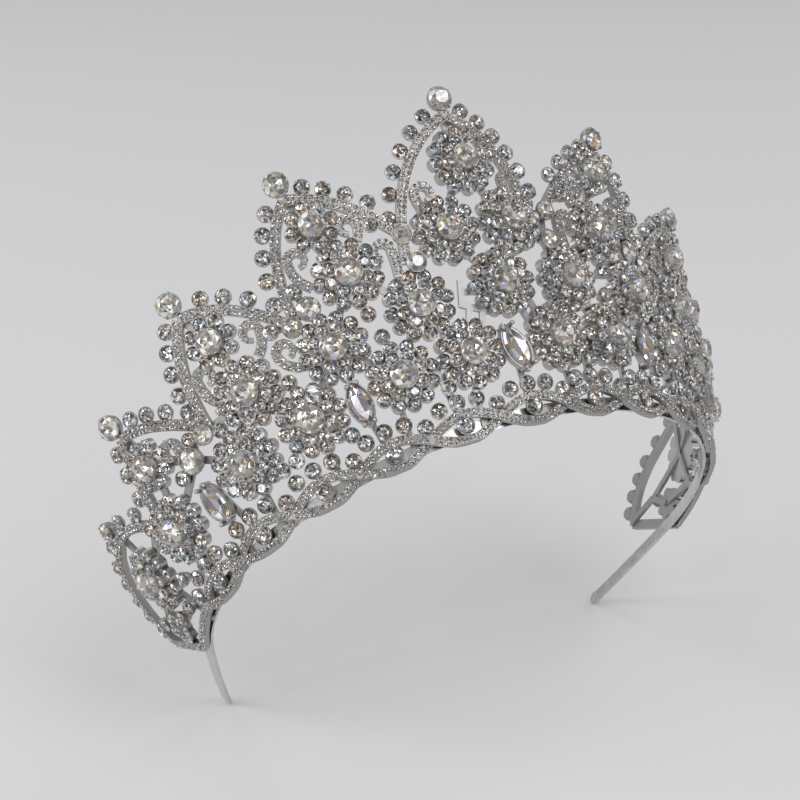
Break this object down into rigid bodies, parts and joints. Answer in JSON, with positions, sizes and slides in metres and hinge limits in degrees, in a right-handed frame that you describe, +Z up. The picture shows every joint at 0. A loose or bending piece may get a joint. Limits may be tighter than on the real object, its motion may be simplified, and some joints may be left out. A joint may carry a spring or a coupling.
{
  "type": "bridal tiara",
  "caption": "Tall bridal tiara: a flared wall of crystal flowers, scrolls and pointed arches on a woven base braid, with a plain band and two bare arms that grip the head.",
  "frame": {"origin": "middle of the small flat under the front lens of the base braid, on the base plane the tiara rests on", "axes": "+Z is up, away from the base plane; the front of the tiara faces -Y and its arms run back toward +Y; +X is the wearer's left, so the viewer's right when the front is looked at from -Y"},
  "size_m": [0.1736, 0.1393, 0.078],
  "materials": {
    "plated_metal": "bright silver-coloured plating on cast alloy",
    "crystal": "clear cut crystal with a foiled back"
  },
  "bodies": {
    "root": {"head_band": "plated_metal", "lattice_front": "plated_metal", "lattice_left": "plated_metal", "lattice_right": "plated_metal", "braid_front": "plated_metal", "braid_left": "plated_metal", "braid_right": "plated_metal", "end_panel_left": "plated_metal", "end_panel_right": "plated_metal", "peak_front": "plated_metal", "peak_left_1": "plated_metal", "peak_left_2": "plated_metal", "peak_left_3": "plated_metal", "peak_left_4": "plated_metal", "peak_right_1": "plated_metal", "peak_right_2": "plated_metal", "peak_right_3": "plated_metal", "peak_right_4": "plated_metal", "centre_flower_casting": "plated_metal", "crest_flower_casting": "plated_metal", "lower_flower_left_1": "plated_metal", "lower_flower_left_2": "plated_metal", "lower_flower_left_3": "plated_metal", "lower_flower_left_4": "plated_metal", "lower_flower_left_5": "plated_metal", "lower_flower_left_6": "plated_metal", "lower_flower_right_1": "plated_metal", "lower_flower_right_2": "plated_metal", "lower_flower_right_3": "plated_metal", "lower_flower_right_4": "plated_metal", "lower_flower_right_5": "plated_metal", "lower_flower_right_6": "plated_metal", "middle_flower_left_1": "plated_metal", "middle_flower_left_2": "plated_metal", "middle_flower_left_3": "plated_metal", "middle_flower_right_1": "plated_metal", "middle_flower_right_2": "plated_metal", "middle_flower_right_3": "plated_metal", "upper_flower_left_1": "plated_metal", "upper_flower_left_2": "plated_metal", "upper_flower_right_1": "plated_metal", "upper_flower_right_2": "plated_metal", "top_flowers_left": "plated_metal", "top_flowers_right": "plated_metal", "marquise_settings": "plated_metal", "marquise_gems": "crystal", "row_cups": "plated_metal", "row_gems": "crystal", "eye_cups": "plated_metal", "eye_gems": "crystal", "joint_cups": "plated_metal", "joint_gems": "crystal", "edge_gems": "crystal", "tip_gems": "crystal", "flower_centre_gems": "crystal", "lower_ring_gems_left": "crystal", "lower_ring_gems_right": "crystal", "middle_ring_gems": "crystal", "upper_ring_gems": "crystal"}
  },
  "joints": []
}
